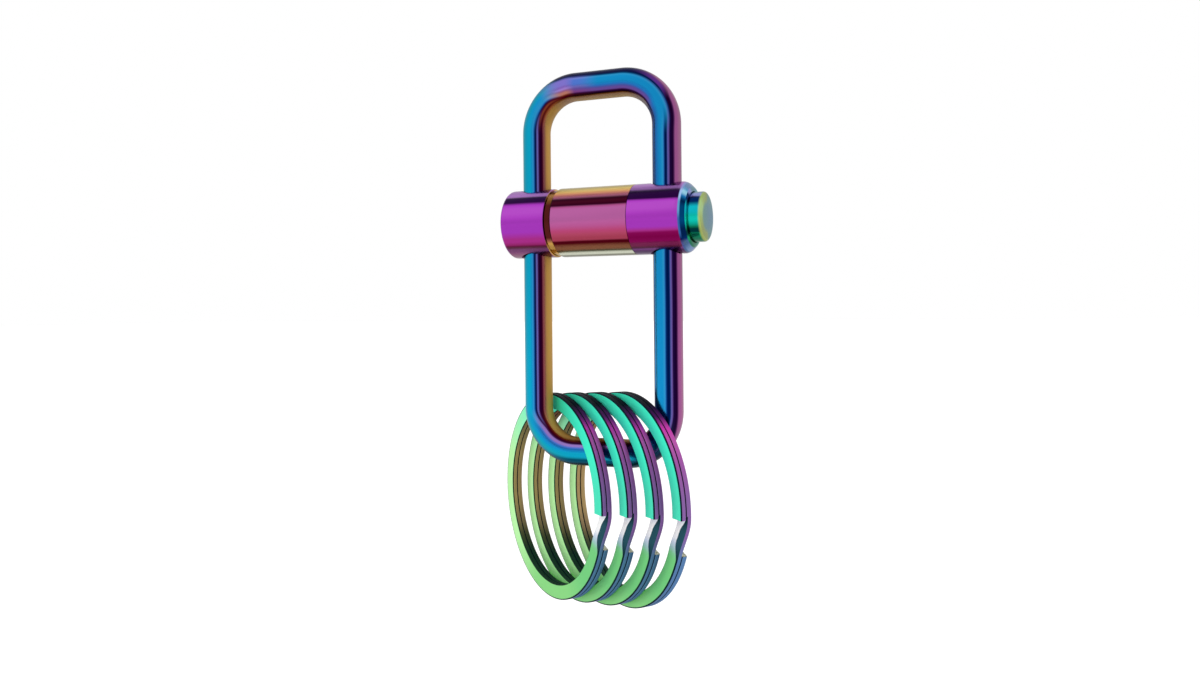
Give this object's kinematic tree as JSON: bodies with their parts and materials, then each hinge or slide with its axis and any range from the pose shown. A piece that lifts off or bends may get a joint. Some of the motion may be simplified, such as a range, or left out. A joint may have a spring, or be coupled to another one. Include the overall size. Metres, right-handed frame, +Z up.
{
  "type": "quick-release key clip",
  "caption": "Rod loop key clip with a cross barrel, a push-button release for its lower loop, and split rings hung on that loop.",
  "frame": {"origin": "the seat under the middle of the top bar, where the clip hangs on a belt loop or hook", "axes": "+X along the barrel towards the button, +Y from the front to the back, +Z up to the top bar"},
  "size_m": [0.037, 0.0212, 0.076],
  "materials": {
    "anodised_bow": "polished, iridescent anodised colours",
    "anodised_collar": "polished, iridescent anodised colours",
    "anodised_sleeve": "polished, iridescent anodised colours",
    "anodised_button": "polished, iridescent anodised colours",
    "anodised_ring": "polished, iridescent anodised colours",
    "spring_steel": "plain machined and drawn steel, inside the barrel"
  },
  "bodies": {
    "clip_body": {"upper_bow": "anodised_bow", "left_collar": "anodised_collar", "middle_sleeve": "anodised_sleeve", "right_collar": "anodised_collar", "core_upper": "spring_steel", "core_lower": "spring_steel", "bow_pin_left": "spring_steel", "bow_pin_right": "spring_steel", "spring_seat": "spring_steel", "return_spring": "spring_steel", "latch_clip_left": "spring_steel", "latch_clip_right": "spring_steel"},
    "button_set": {"button": "anodised_button", "plunger": "spring_steel", "release_cam_left": "spring_steel", "release_cam_right": "spring_steel"},
    "lower_bow_body": {"lower_bow": "anodised_bow"},
    "ring_1": {"split_ring_1": "anodised_ring"},
    "ring_2": {"split_ring_2": "anodised_ring"},
    "ring_3": {"split_ring_3": "anodised_ring"},
    "ring_4": {"split_ring_4": "anodised_ring"}
  },
  "joints": [
    {"name": "button_press", "type": "slide", "parent": "clip_body", "child": "button_set", "axis": [-1, 0, 0], "range_m": [0, 0.001], "stiffness_N_per_m": 1500, "springref_m": -0.001, "deforming": ["return_spring", "latch_clip_left", "latch_clip_right"]},
    {"name": "bow_release", "type": "slide", "parent": "clip_body", "child": "lower_bow_body", "axis": [0, 0, -1], "range_m": [0, 0.008]},
    {"name": "ring_1_turn", "type": "hinge", "parent": "lower_bow_body", "child": "ring_1", "pos_m": [-0.00903, 0.0032, -0.057], "axis": [0.6015, 0.7989, 0], "continuous": true},
    {"name": "ring_2_turn", "type": "hinge", "parent": "lower_bow_body", "child": "ring_2", "pos_m": [-0.0051, 0.00257, -0.0568], "axis": [0.6015, 0.7989, 0], "continuous": true},
    {"name": "ring_3_turn", "type": "hinge", "parent": "lower_bow_body", "child": "ring_3", "pos_m": [-0.00117, 0.00194, -0.0566], "axis": [0.6015, 0.7989, 0], "continuous": true},
    {"name": "ring_4_turn", "type": "hinge", "parent": "lower_bow_body", "child": "ring_4", "pos_m": [0.00276, 0.00131, -0.0564], "axis": [0.6015, 0.7989, 0], "continuous": true}
  ]
}
